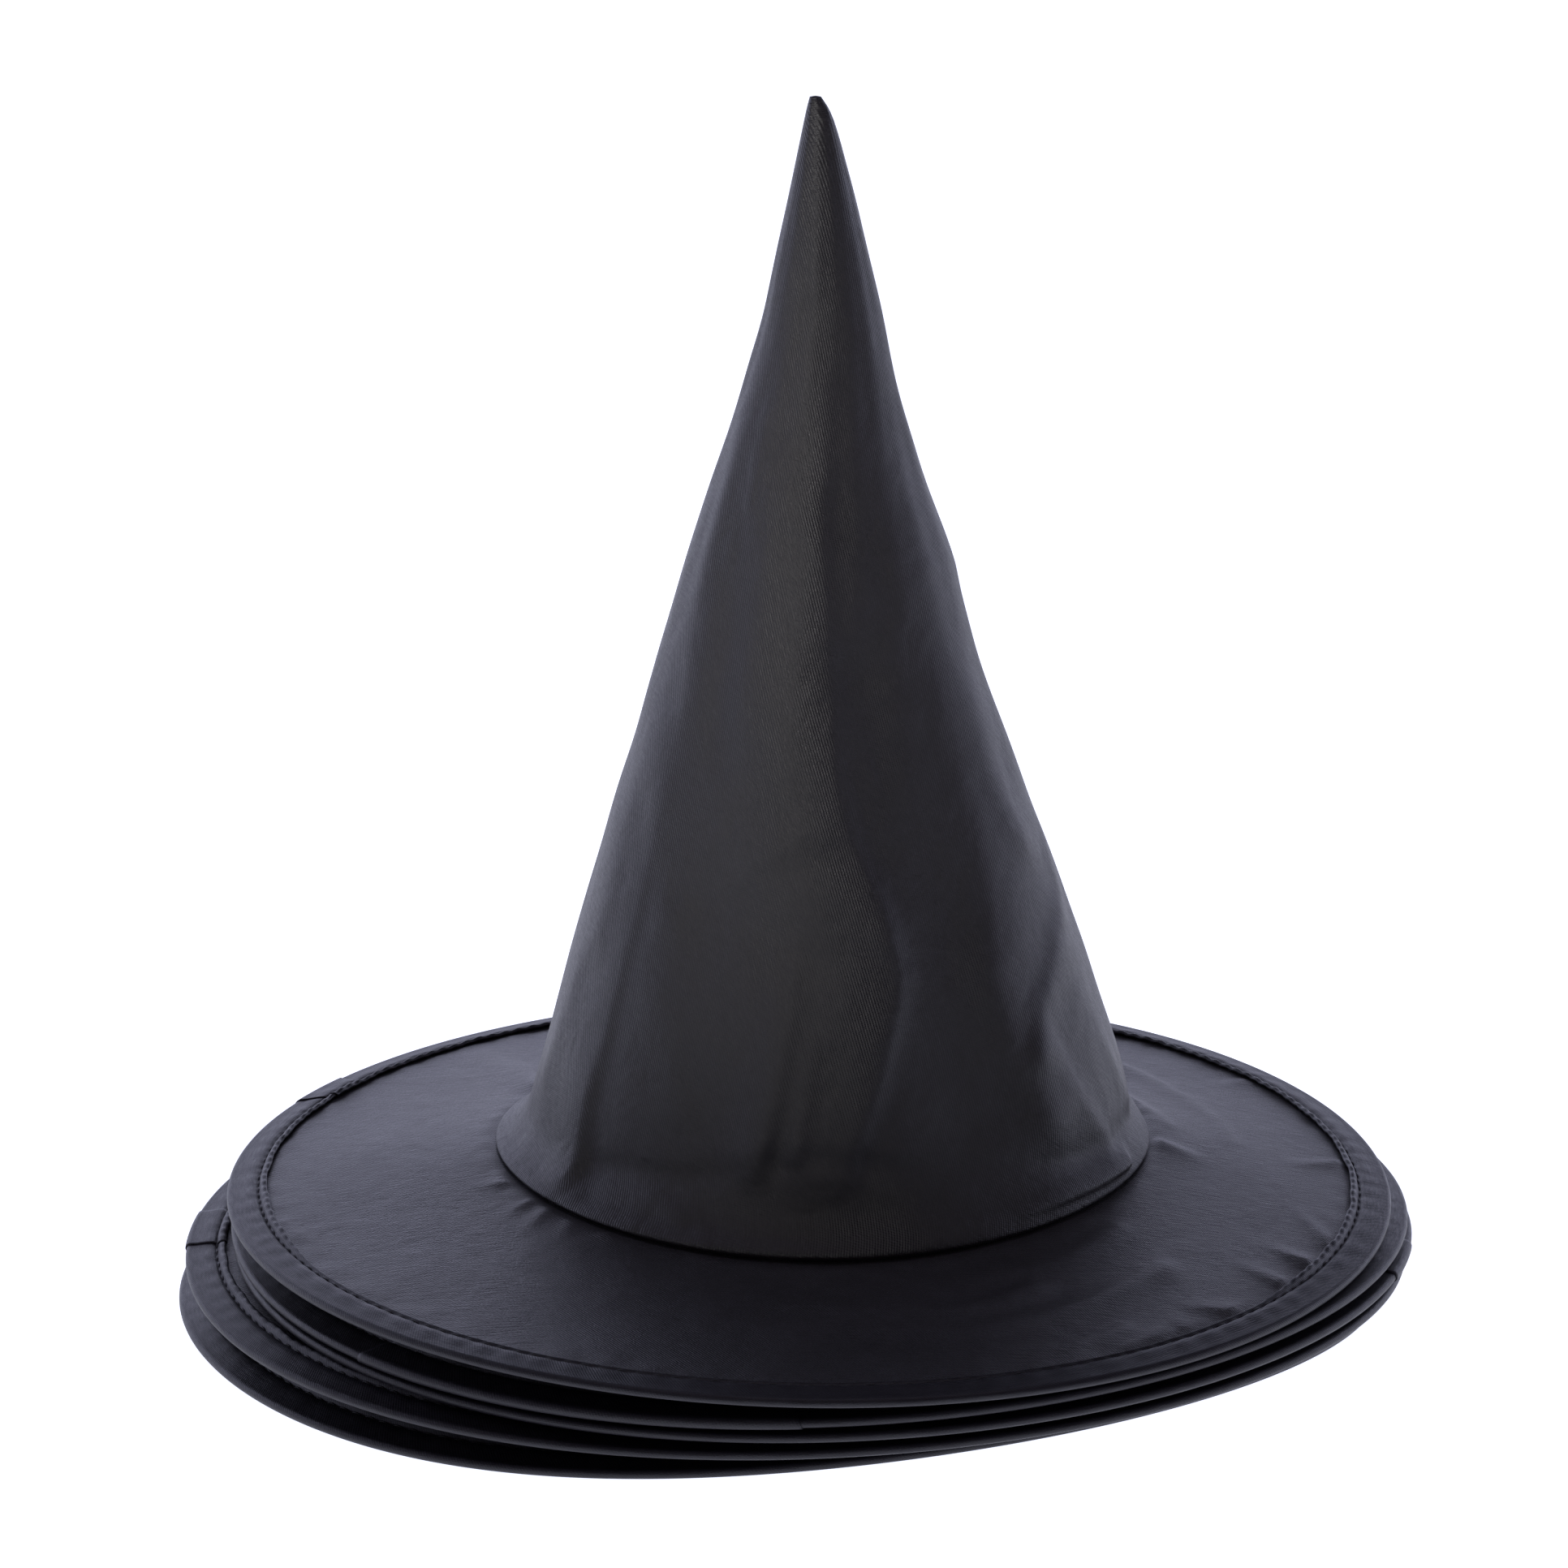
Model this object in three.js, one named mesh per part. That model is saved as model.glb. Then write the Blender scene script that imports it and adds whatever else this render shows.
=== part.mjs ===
// Five black satin witch hats nested in one stack. Millimetres, +Z up.
// The origin is on the ground, in the middle of the ground that the stack covers.
//
// Every hat is made in the same way. A cone of satin over a stiffener is sewn to a brim of two
// satin plies with an interlining between them, and tape binds the brim's edge round a wire hoop.
// Each piece is turned as a ring round the crown axis, with the brim flat and its upper face at
// height 0, and is then settled onto the shape that its own hat has taken up in the stack.

import * as THREE from 'three';

// The stack
const HAT_COUNT = 5;
const NEST_STEP = 5.6;            // each hat stands this much above the one it is nested on
const LOWEST_SEAM_HEIGHT = 21.9;  // head seam of the bottom hat above the ground
const RING_FACETS = 24;

// The axis that the five crowns share. The brims have slid to one side of it.
const CROWN_AXIS = { x: 8.5, y: 3 };

// The crown, with heights counted from the head seam
const SEAM_RADIUS = 96.5;
const FLARE_HEIGHT = 13;          // the crown flares out to its seam below this height
const STIFFENED_HEIGHT = 235;
const CROWN_PROFILE = [
  new THREE.Vector2(SEAM_RADIUS, 0),
  new THREE.Vector2(88.5, FLARE_HEIGHT),
  new THREE.Vector2(49.5, 140),
  new THREE.Vector2(19.8, STIFFENED_HEIGHT),
  new THREE.Vector2(4.9, 299),
];
const CROWN_HEIGHT = 308;
const TIP_THICKNESS = 1.1;
const SATIN_THICKNESS = 0.45;
const STIFFENER_THICKNESS = 0.45;
const SWEATBAND_THICKNESS = 0.3;
const SWEATBAND_HEIGHT = 20;
const PLY_GAP = 0.1;
const SEAM_GAP = 0.15;            // between the brim's upper face and the crown sewn down on it

// The brim, with depths counted down from its upper face
const HEAD_HOLE_RADIUS = 95;
const BRIM_SATIN_THICKNESS = 0.4;
const INTERLINING_THICKNESS = 0.6;
const BRIM_THICKNESS = 2 * BRIM_SATIN_THICKNESS + INTERLINING_THICKNESS + 2 * PLY_GAP;
const BRIM_MIDDLE = -BRIM_THICKNESS / 2;

// The bound edge
const OUTER_RADIUS = 176.5;
const TAPE_THICKNESS = 0.35;
const TAPE_WIDTH = 12;
const BEAD_RADIUS = 1.4;
const WIRE_RADIUS = 0.6;
const WIRE_RING_RADIUS = OUTER_RADIUS - BEAD_RADIUS;
const TAPE_RADIUS = OUTER_RADIUS - TAPE_WIDTH;
const PLY_EDGE_RADIUS = WIRE_RING_RADIUS - 1.3;
const FERRULE_LENGTH = 16;
const FERRULE_OUTER_RADIUS = 0.9;
const FERRULE_INNER_RADIUS = 0.72;

// The blank label caught in the head seam at the back
const LABEL = { width: 16, length: 28, thickness: 0.3, gap: 0.9 };

// The head seam is pushed into a slight saddle: high at both sides, low at front and back.
const SEAM_SADDLE = 2.7;

// How each hoop lies, from the top hat down. x and y shift it off the crown axis, oval widens it
// along X and narrows it along Y, height is its middle above the ground, tilt raises its +X side,
// and twist raises two opposite quarters and drops the other two.
const HOOPS = [
  { x: -4, y: -4, oval: -6, height: 35, tilt: -0.5, twist: 1 },
  { x: -1, y: 0, oval: -3.5, height: 27, tilt: 1, twist: -2.5 },
  { x: 0, y: 1, oval: -3, height: 22.2, tilt: 0.5, twist: -2.5 },
  { x: -8, y: -2, oval: 3, height: 16.2, tilt: 0.5, twist: -2.5 },
  { x: -12.5, y: 4.5, oval: 1.5, height: BEAD_RADIUS, tilt: 0, twist: 0 },
];

// The bottom hoop lies on the ground except for one arc, which is sprung up towards the hat above.
const LIFTED_ARC = {
  height: 13.5,
  middle: THREE.MathUtils.degToRad(303),
  halfWidth: THREE.MathUtils.degToRad(82),
};

const MATERIALS = {
  crownSatin: { color: 0x1d1d21, roughness: 0.45, metalness: 0 },
  brimSatin: { color: 0x222227, roughness: 0.5, metalness: 0 },
  tape: { color: 0x2a2a30, roughness: 0.38, metalness: 0 },
  nonwoven: { color: 0x4a4a4d, roughness: 0.95, metalness: 0 },
  grosgrain: { color: 0x17171a, roughness: 0.8, metalness: 0 },
  springSteel: { color: 0x8a8c90, roughness: 0.35, metalness: 0.9 },
  label: { color: 0xe6e4de, roughness: 0.7, metalness: 0 },
};

const point = (radius, height) => new THREE.Vector2(radius, height);

// The crown's outer radius at a height above the head seam.
function crownRadius(height) {
  const above = CROWN_PROFILE.findIndex((p, i) => i > 0 && p.y >= height);
  const low = CROWN_PROFILE[above - 1];
  const high = CROWN_PROFILE[above];
  return THREE.MathUtils.mapLinear(height, low.y, high.y, low.x, high.x);
}

// One layer of the crown: a wall that lies inside the crown's outer face by the inset.
function crownLayerProfile(inset, thickness, top) {
  const heights = CROWN_PROFILE.map((p) => p.y).filter((height) => height < top);
  heights.push(top);
  const outer = heights.map((height) => point(crownRadius(height) - inset, height + SEAM_GAP));
  const inner = outer.map((p) => point(p.x - thickness, p.y)).reverse();
  return [...outer, ...inner, outer[0].clone()];
}

// The satin cone, closed at its tip and open at the head seam.
function crownShellProfile() {
  const outer = CROWN_PROFILE.map((p) => point(p.x, p.y + SEAM_GAP));
  const inner = outer.map((p) => point(p.x - SATIN_THICKNESS, p.y)).reverse();
  const innerTip = point(0, CROWN_HEIGHT - TIP_THICKNESS);
  return [innerTip, ...inner, ...outer, point(0, CROWN_HEIGHT)];
}

// One ply of the brim, from the head hole to the fold of the tape.
function brimPlyProfile(top, thickness) {
  const bottom = top - thickness;
  return [
    point(HEAD_HOLE_RADIUS, bottom),
    point(TAPE_RADIUS, bottom),
    point(PLY_EDGE_RADIUS, bottom),
    point(PLY_EDGE_RADIUS, top),
    point(TAPE_RADIUS, top),
    point(HEAD_HOLE_RADIUS, top),
    point(HEAD_HOLE_RADIUS, bottom),
  ];
}

// A round section on the wire's circle, from angle to angle in steps of 45 degrees.
function roundSection(radius, fromAngle, toAngle, steps) {
  const angles = Array.from({ length: steps + 1 }, (_, i) =>
    THREE.MathUtils.lerp(fromAngle, toAngle, i / steps));
  return angles.map((angle) =>
    point(WIRE_RING_RADIUS + radius * Math.cos(angle), BRIM_MIDDLE + radius * Math.sin(angle)));
}

// The tape folded round the wire, open towards the crown.
function bindingProfile() {
  const inside = BEAD_RADIUS - TAPE_THICKNESS;
  const quarter = Math.PI / 2;
  return [
    point(TAPE_RADIUS, BRIM_MIDDLE - BEAD_RADIUS),
    ...roundSection(BEAD_RADIUS, -quarter, quarter, 4),
    point(TAPE_RADIUS, BRIM_MIDDLE + BEAD_RADIUS),
    point(TAPE_RADIUS, BRIM_MIDDLE + inside),
    ...roundSection(inside, quarter, -quarter, 4),
    point(TAPE_RADIUS, BRIM_MIDDLE - inside),
    point(TAPE_RADIUS, BRIM_MIDDLE - BEAD_RADIUS),
  ];
}

// A ring turned round the crown axis from a profile of radius and height. The settled facets are
// slightly twisted, so both faces of every layer are split along the same diagonal: the split is
// turned over wherever the profile runs back down or in. That keeps thin layers evenly apart.
function turned(profile) {
  const geometry = new THREE.LatheGeometry(profile, RING_FACETS);
  const bands = profile.length - 1;
  const corners = geometry.index.array;
  for (let quad = 0; quad < RING_FACETS * bands; quad += 1) {
    const from = profile[quad % bands];
    const to = profile[(quad % bands) + 1];
    const runsBack = (to.x - from.x) + 2 * (to.y - from.y) < 0;
    if (runsBack) {
      const [a, b, d, c] = corners.slice(quad * 6, quad * 6 + 4);
      corners.set([a, b, c, a, c, d], quad * 6);
    }
  }
  geometry.rotateX(Math.PI / 2);
  return geometry;
}

// Height of a hoop's middle line above the ground, at an angle round it.
function hoopHeight(hat, angle) {
  const hoop = HOOPS[hat - 1];
  const flexed = hoop.tilt * Math.cos(angle) + hoop.twist * Math.sin(2 * angle);
  const onGround = hat === HAT_COUNT;
  const turn = 2 * Math.PI;
  const fromMiddle = THREE.MathUtils.euclideanModulo(angle - LIFTED_ARC.middle + Math.PI, turn) - Math.PI;
  const reach = Math.min(Math.abs(fromMiddle) / LIFTED_ARC.halfWidth, 1);
  const lift = LIFTED_ARC.height * (1 + Math.cos(Math.PI * reach)) / 2;
  return hoop.height + flexed + (onGround ? lift : 0);
}

const seamHeight = (hat) => LOWEST_SEAM_HEIGHT + NEST_STEP * (HAT_COUNT - hat);

// Moves one point of a freshly turned piece to its place on the settled hat. The brim leaves the
// head seam's saddle and reaches the hoop's own line at the tape, which lies level across.
function settle(p, hat) {
  const hoop = HOOPS[hat - 1];
  const angle = Math.atan2(p.y, p.x);
  const radius = Math.hypot(p.x, p.y);
  const outward = THREE.MathUtils.clamp(
    (radius - SEAM_RADIUS) / (TAPE_RADIUS - SEAM_RADIUS), 0, 1);
  const saddle = SEAM_SADDLE * Math.cos(2 * angle) * (1 - THREE.MathUtils.clamp(p.z / FLARE_HEIGHT, 0, 1));
  const hoopDrop = hoopHeight(hat, angle) - BRIM_MIDDLE - seamHeight(hat);
  p.x += outward * (hoop.x + hoop.oval * Math.cos(angle));
  p.y += outward * (hoop.y - hoop.oval * Math.sin(angle));
  p.z += seamHeight(hat) + THREE.MathUtils.lerp(saddle, hoopDrop, outward);
  return p;
}

function settled(geometry, hat) {
  const places = geometry.attributes.position;
  const p = new THREE.Vector3();
  for (let i = 0; i < places.count; i += 1) {
    settle(p.fromBufferAttribute(places, i), hat);
    places.setXYZ(i, p.x, p.y, p.z);
  }
  geometry.computeVertexNormals();
  return geometry;
}

// A crimped sleeve over the butted ends of the wire, half way along one of the hoop's facets.
function ferrule(hat) {
  const facet = (2 * Math.PI) / RING_FACETS;
  const corner = (step) => {
    const angle = Math.PI / 2 + step * facet;
    const x = WIRE_RING_RADIUS * Math.cos(angle);
    const y = WIRE_RING_RADIUS * Math.sin(angle);
    return settle(new THREE.Vector3(x, y, BRIM_MIDDLE), hat);
  };
  const start = corner(1);
  const end = corner(2);
  const middle = start.clone().lerp(end, 0.5);
  const half = end.clone().sub(start).setLength(FERRULE_LENGTH / 2);
  const path = new THREE.LineCurve3(middle.clone().sub(half), middle.clone().add(half));
  const ring = new THREE.Shape().absarc(0, 0, FERRULE_OUTER_RADIUS, 0, 2 * Math.PI);
  ring.holes.push(new THREE.Path().absarc(0, 0, FERRULE_INNER_RADIUS, 0, 2 * Math.PI, true));
  return new THREE.ExtrudeGeometry(ring, { extrudePath: path, steps: 1, curveSegments: 8 });
}

// The label lies under the brim at the back, along the slope that the brim has there.
function placeLabel(mesh, hat) {
  const depth = -BRIM_THICKNESS - LABEL.gap;
  const start = settle(new THREE.Vector3(0, SEAM_RADIUS + 1, depth), hat);
  const end = settle(new THREE.Vector3(0, SEAM_RADIUS + 1 + LABEL.length, depth), hat);
  mesh.position.copy(start).lerp(end, 0.5);
  mesh.rotation.x = Math.atan2(end.z - start.z, end.y - start.y);
}

const layerBelow = (top, thickness) => top - thickness - PLY_GAP;

function makeHat(hat) {
  const group = new THREE.Group();
  const add = (piece, geometry, material) => {
    const mesh = new THREE.Mesh(geometry, new THREE.MeshStandardMaterial(MATERIALS[material]));
    mesh.name = `hat_${hat}_${piece}`;
    group.add(mesh);
    return mesh;
  };
  const addTurned = (piece, profile, material) =>
    add(piece, settled(turned(profile), hat), material);

  const stiffenerInset = SATIN_THICKNESS + PLY_GAP;
  const sweatbandInset = stiffenerInset + STIFFENER_THICKNESS + PLY_GAP;
  const stiffener = crownLayerProfile(stiffenerInset, STIFFENER_THICKNESS, STIFFENED_HEIGHT);
  const sweatband = crownLayerProfile(sweatbandInset, SWEATBAND_THICKNESS, SWEATBAND_HEIGHT);
  addTurned('crown_shell', crownShellProfile(), 'crownSatin');
  addTurned('crown_stiffener', stiffener, 'nonwoven');
  addTurned('sweatband', sweatband, 'grosgrain');

  const interliningTop = layerBelow(0, BRIM_SATIN_THICKNESS);
  const undersideTop = layerBelow(interliningTop, INTERLINING_THICKNESS);
  const interlining = brimPlyProfile(interliningTop, INTERLINING_THICKNESS);
  addTurned('brim_top', brimPlyProfile(0, BRIM_SATIN_THICKNESS), 'brimSatin');
  addTurned('brim_interlining', interlining, 'nonwoven');
  addTurned('brim_underside', brimPlyProfile(undersideTop, BRIM_SATIN_THICKNESS), 'brimSatin');

  addTurned('edge_binding', bindingProfile(), 'tape');
  addTurned('hoop_wire', roundSection(WIRE_RADIUS, 0, 2 * Math.PI, 6), 'springSteel');
  add('hoop_ferrule', ferrule(hat), 'springSteel');

  const labelShape = new THREE.BoxGeometry(LABEL.width, LABEL.length, LABEL.thickness);
  placeLabel(add('care_label', labelShape, 'label'), hat);
  return group;
}

const stack = new THREE.Group();
stack.position.set(CROWN_AXIS.x, CROWN_AXIS.y, 0);
for (let hat = 1; hat <= HAT_COUNT; hat += 1) {
  stack.add(makeHat(hat));
}

export default stack;
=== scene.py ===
# Five black satin witch hats, nested in one stack. Metres, +Z up, in the CAD model's frame.
# Each hat's place is read from its CAD nodes, so the looks follow the CAD wherever it goes.

import math

import bpy
import numpy as np
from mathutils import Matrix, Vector


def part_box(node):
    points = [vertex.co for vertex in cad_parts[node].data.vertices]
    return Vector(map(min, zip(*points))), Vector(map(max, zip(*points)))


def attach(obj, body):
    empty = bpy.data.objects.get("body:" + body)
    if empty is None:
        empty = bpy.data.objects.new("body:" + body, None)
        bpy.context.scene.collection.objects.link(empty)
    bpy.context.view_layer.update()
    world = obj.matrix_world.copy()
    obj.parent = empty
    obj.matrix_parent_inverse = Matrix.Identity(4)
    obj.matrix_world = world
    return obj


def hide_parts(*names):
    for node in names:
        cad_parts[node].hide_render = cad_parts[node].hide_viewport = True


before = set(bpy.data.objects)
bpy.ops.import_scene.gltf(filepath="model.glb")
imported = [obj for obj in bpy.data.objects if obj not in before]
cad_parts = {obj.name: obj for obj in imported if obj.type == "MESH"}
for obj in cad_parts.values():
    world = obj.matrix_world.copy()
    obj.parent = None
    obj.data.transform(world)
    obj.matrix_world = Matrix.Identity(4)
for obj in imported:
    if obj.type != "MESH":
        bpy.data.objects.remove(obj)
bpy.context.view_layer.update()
MM = 0.001


# ---- Camera -------------------------------------------------------------------------------
# A long lens a metre and a half away, looking down on the brims and level with the crown's
# lower half.

CAMERA_DISTANCE = 1.5
CAMERA_ELEVATION = math.radians(14.5)
CAMERA_VIEW_ANGLE = math.radians(17.23)
AIM_HEIGHT = 153.9 * MM
AIM_LEFT_OF_CROWN = 11.3 * MM

crown_low, crown_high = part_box("hat_1_crown_shell")
crown_axis = (crown_low + crown_high) / 2
aim = Vector((crown_axis.x - AIM_LEFT_OF_CROWN, crown_axis.y, AIM_HEIGHT))
back_off = Vector((0, -math.cos(CAMERA_ELEVATION), math.sin(CAMERA_ELEVATION)))
camera_data = bpy.data.cameras.new("camera")
camera_data.lens_unit = "FOV"
camera_data.angle = CAMERA_VIEW_ANGLE
camera_data.clip_end = 60
camera = bpy.data.objects.new("camera", camera_data)
camera.location = aim + CAMERA_DISTANCE * back_off
camera.rotation_euler = (math.pi / 2 - CAMERA_ELEVATION, 0, 0)
bpy.context.scene.collection.objects.link(camera)
bpy.context.scene.camera = camera
bpy.context.scene.view_settings.view_transform = "Standard"


# ---- Room ---------------------------------------------------------------------------------
# A floor of white paper, lit from beneath as well, with painted shade in front of the stack, where
# it is dark and barely lit from beneath. The studio is bright behind up to shoulder height, softly
# lit from straight above and dim in front, and five snooted lamps light the crown.

ROOM_BACK = 1.65
ROOM_FRONT = 0.063
ROOM_TOP = 0.6
BACK_TINT = (0.87, 0.89, 1.19, 1)
FRONT_TINT = (1.08, 0.90, 1.10, 1)
FLOOR_SIZE = 30
FLOOR_MIDDLE = 8
FLOOR_DROP = 0.3 * MM
PAINTED_SHADE_UP_TO = -0.55      # the floor carries painted shade nearer the camera than this depth,
WHITE_FROM = -0.25      # and white farther away than this
FLOOR_WHITE = (0.5, 0.5, 0.5, 1)
FLOOR_PAINTED_SHADE = (0.06, 0.06, 0.07, 1)
FLOOR_GLOW = (1.00, 1.03, 1.21, 1)
FLOOR_GLOW_UNDER_PAINTED_SHADE = (0.028, 0.028, 0.032, 1)
LAMP_ELEVATION = math.radians(25)
LAMP_DISTANCE = 3.0


class Value:
    """A shader socket that takes part in plain arithmetic."""

    def __init__(self, finish, socket):
        self.finish = finish
        self.socket = socket

    def maths(self, operation, first, second):
        return self.finish.add("ShaderNodeMath", {"operation": operation}, {0: first, 1: second})

    def __add__(self, other):
        return self.maths("ADD", self, other)

    def __sub__(self, other):
        return self.maths("SUBTRACT", self, other)

    def __rsub__(self, other):
        return self.maths("SUBTRACT", other, self)

    def __mul__(self, other):
        return self.maths("MULTIPLY", self, other)

    __radd__ = __add__
    __rmul__ = __mul__

    def sine(self):
        return self.maths("SINE", self, 0.0)

    def between(self, low, high):
        """0 below low, 1 above high, and a smooth step from one to the other."""
        settings = {"interpolation_type": "SMOOTHSTEP"}
        return self.finish.add(
            "ShaderNodeMapRange", settings, {"Value": self, "From Min": low, "From Max": high})


class Finish:
    """The nodes of one finish, or of the room's light."""

    def __init__(self, tree):
        self.tree = tree

    def node(self, kind, settings, inputs):
        made = self.tree.nodes.new(kind)
        for name, setting in settings.items():
            setattr(made, name, setting)
        for name, given in inputs.items():
            if isinstance(given, Value):
                self.tree.links.new(given.socket, made.inputs[name])
            else:
                made.inputs[name].default_value = given
        return made

    def add(self, kind, settings, inputs, output=0):
        return Value(self, self.node(kind, settings, inputs).outputs[output])

    def blend(self, share, first, second):
        """A colour that goes from the first to the second."""
        return self.add(
            "ShaderNodeMix", {"data_type": "RGBA"}, {0: share, 6: first, 7: second}, output=2)


world = bpy.data.worlds.new("studio")
world.use_nodes = True
world.node_tree.nodes.clear()
bpy.context.scene.world = world
studio = Finish(world.node_tree)
look = studio.add("ShaderNodeTexCoord", {}, {}, output="Generated")
across = studio.node("ShaderNodeSeparateXYZ", {}, {"Vector": look})
to_right = Value(studio, across.outputs["X"])
to_back = Value(studio, across.outputs["Y"])
overhead = Value(studio, across.outputs["Z"])
skyline = overhead + 0.2 * to_right.between(-0.15, 0.15)
backdrop = to_back.between(-0.15, 0.35) * (1 - skyline.between(0.42, 0.64))
room_light = (ROOM_FRONT + (ROOM_BACK - ROOM_FRONT) * backdrop
              + ROOM_TOP * overhead.between(0.8, 1.0))
room_tint = studio.blend(to_back.between(-0.3, 0.3), FRONT_TINT, BACK_TINT)
studio_light = studio.add(
    "ShaderNodeBackground", {}, {"Color": room_tint, "Strength": room_light})
studio.node("ShaderNodeOutputWorld", {}, {"Surface": studio_light})


def snooted_lamp(name, azimuth, aim_height, source_radius, beam, power, colour):
    """A lamp whose narrow beam falls on the upper crown and leaves its foot dark. Azimuth 0 is
    at the camera and grows to the right. Degrees, and mm for the height that the lamp aims at."""
    data = bpy.data.lights.new(name, "SPOT")
    data.spot_size = math.radians(beam)
    data.spot_blend = 1.0
    data.shadow_soft_size = source_radius
    data.energy = power
    data.color = colour
    lamp = bpy.data.objects.new(name, data)
    turn = math.radians(azimuth)
    level = math.cos(LAMP_ELEVATION)
    away = Vector((math.sin(turn) * level, -math.cos(turn) * level, math.sin(LAMP_ELEVATION)))
    lamp.location = Vector((crown_axis.x, crown_axis.y, aim_height * MM)) + LAMP_DISTANCE * away
    lamp.rotation_euler = away.to_track_quat("Z", "Y").to_euler()
    bpy.context.scene.collection.objects.link(lamp)


snooted_lamp("key_low", -10, 215, 0.08, 9.4, 84, (1.0, 0.98, 0.97))
snooted_lamp("key_middle", -25, 285, 0.1, 9.2, 74, (1.0, 0.97, 0.98))
snooted_lamp("key_left", -40, 285, 0.1, 9.2, 72, (1.0, 0.97, 0.98))
snooted_lamp("left_fill", -66, 285, 0.25, 9, 23, (0.97, 0.94, 1.0))
snooted_lamp("right_fill", 60, 295, 0.2, 8, 36, (1.0, 0.90, 0.97))

bpy.ops.mesh.primitive_plane_add(size=FLOOR_SIZE, location=(0, FLOOR_MIDDLE, -FLOOR_DROP))
floor = bpy.context.object
floor.name = "floor"
paper = bpy.data.materials.new("paper")
paper.use_nodes = True
paper.node_tree.nodes.clear()
sheet_glow = Finish(paper.node_tree)
floor_place = sheet_glow.add("ShaderNodeTexCoord", {}, {}, output="Object")
floor_parts = sheet_glow.node("ShaderNodeSeparateXYZ", {}, {"Vector": floor_place})
floor_depth = Value(sheet_glow, floor_parts.outputs["Y"])
# Painted shade: near the camera the paper is dark and barely lit, keeping light off the crown's
# foot.
behind = floor_depth.between(PAINTED_SHADE_UP_TO - FLOOR_MIDDLE, WHITE_FROM - FLOOR_MIDDLE)
glow_with_painted_shade = sheet_glow.blend(behind, FLOOR_GLOW_UNDER_PAINTED_SHADE, FLOOR_GLOW)
paper_with_painted_shade = sheet_glow.blend(behind, FLOOR_PAINTED_SHADE, FLOOR_WHITE)
paper_surface = sheet_glow.add("ShaderNodeBsdfPrincipled", {}, {
    "Base Color": paper_with_painted_shade, "Roughness": 0.9,
    "Emission Color": glow_with_painted_shade, "Emission Strength": 1})
sheet_glow.node("ShaderNodeOutputMaterial", {}, {"Surface": paper_surface})
floor.data.materials.append(paper)


# ---- Crown satin --------------------------------------------------------------------------
# The outer cone of each hat: one piece of black polyester satin, cut as a sector, sewn into a
# cone along one seam at the back, and flared out at its foot into the head seam.

HAT_COUNT = 5
CROWN_HEIGHT = 308 * MM
SEAM_GAP = 0.15 * MM
SEAM_RADIUS = 96.5 * MM
TAPE_RADIUS = 164.5 * MM
WIRE_RING_RADIUS = 175.1 * MM
BRIM_MIDDLE = -0.8 * MM
FLARE_HEIGHT = 13 * MM
SATIN_WALL = 0.45 * MM
OVERHANG = 2.5 * MM     # how far a fold at the crown's foot may hang out over the head seam
UNEVENNESS = 0.34       # how far the satin strays from a true cone between its folds, in mm
BACK_SEAM_RISE = 0.5 * MM
TIP_HEIGHT = 0.35 * MM  # the pole of the rounded tip over its last row
TWILL_PITCH = 0.9 * MM
WIRE_STATIONS = 24      # vertices of a CAD hoop's length, and the waves read from them
WIRE_WAVES = 7

# Height above the head seam, and how far the crown reaches left and right of its axis, in mm.
CROWN_REACH = [
    (-1.7, 94.8, 94.8), (0, 95.2, 95.2), (0.8, 96.3, 96.3), (1.8, 95.6, 96.2), (5, 91.2, 94.6),
    (12, 86.3, 91.5), (30, 81.8, 86.5), (60, 74, 77), (100, 62, 62), (150, 47.4, 44),
    (180, 38.2, 35.4), (200, 31.6, 28.4), (225, 23.4, 21.2), (245, 17.4, 17), (280, 10, 8.8),
    (300, 6, 3.4), (305, 5.0, 1.4), (308.4, 4.1, -0.9),
]

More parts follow.
